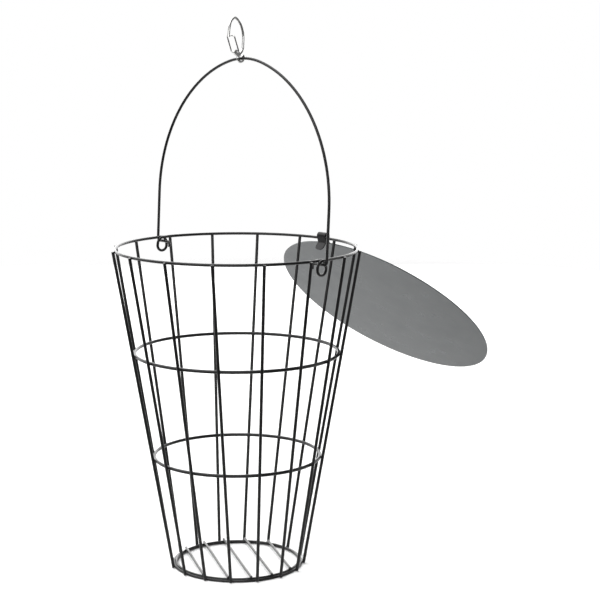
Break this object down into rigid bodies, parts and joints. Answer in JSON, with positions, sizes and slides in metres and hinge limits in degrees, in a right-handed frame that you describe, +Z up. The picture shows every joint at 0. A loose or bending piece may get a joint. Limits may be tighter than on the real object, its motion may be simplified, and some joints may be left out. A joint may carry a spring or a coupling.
{
  "type": "hanging wire bird feeder",
  "caption": "Tapered wire basket bird feeder with a flat hinged lid, shown swung open, a swinging wire bail and a small snap hook to hang it by.",
  "frame": {"origin": "on the floor under the middle of the base, level with the underside of the base ring", "axes": "+Z up, -Y toward the camera's side of the picture, +X to its right"},
  "size_m": [0.3113, 0.3022, 0.4373],
  "materials": {
    "black_coat": "satin",
    "lid_coat": "satin",
    "chrome": "polished"
  },
  "bodies": {
    "basket": {"rim_ring": "black_coat", "upper_hoop": "black_coat", "lower_hoop": "black_coat", "base_ring": "black_coat", "floor_ring": "black_coat", "stave_01": "black_coat", "stave_02": "black_coat", "stave_03": "black_coat", "stave_04": "black_coat", "stave_05": "black_coat", "stave_06": "black_coat", "stave_07": "black_coat", "stave_08": "black_coat", "stave_09": "black_coat", "stave_10": "black_coat", "stave_11": "black_coat", "stave_12": "black_coat", "stave_13": "black_coat", "stave_14": "black_coat", "stave_15": "black_coat", "stave_16": "black_coat", "floor_bar_1": "black_coat", "floor_bar_2": "black_coat", "floor_bar_3": "black_coat", "floor_bar_4": "black_coat", "floor_bar_5": "black_coat"},
    "lid": {"lid_disc": "lid_coat", "lid_hinge_hook": "black_coat"},
    "bail": {"bail_handle": "black_coat"},
    "snap_hook": {"snap_hook_body": "chrome"},
    "gate": {"snap_hook_gate": "chrome"}
  },
  "joints": [
    {"name": "lid_hinge", "type": "hinge", "parent": "basket", "child": "lid", "pos_m": [0.07052, 0.0644, 0.257], "axis": [0.6743, -0.7385, 0], "range_deg": [0, 145]},
    {"name": "bail_swing", "type": "hinge", "parent": "basket", "child": "bail", "pos_m": [0.00098, 0.00085, 0.25385], "axis": [0.6561, -0.7547, 0], "range_deg": [-87, 113]},
    {"name": "hook_swing", "type": "hinge", "parent": "bail", "child": "snap_hook", "pos_m": [0.00387, 0.00959, 0.40493], "axis": [0.6561, -0.7547, 0], "range_deg": [-60, 60]},
    {"name": "gate_swing", "type": "hinge", "parent": "snap_hook", "child": "gate", "pos_m": [-0.00035, 0.00592, 0.40993], "axis": [-0.6561, 0.7547, 0], "range_deg": [0, 30], "stiffness_Nm_per_rad": 0.002, "springref_deg": -5.73}
  ]
}
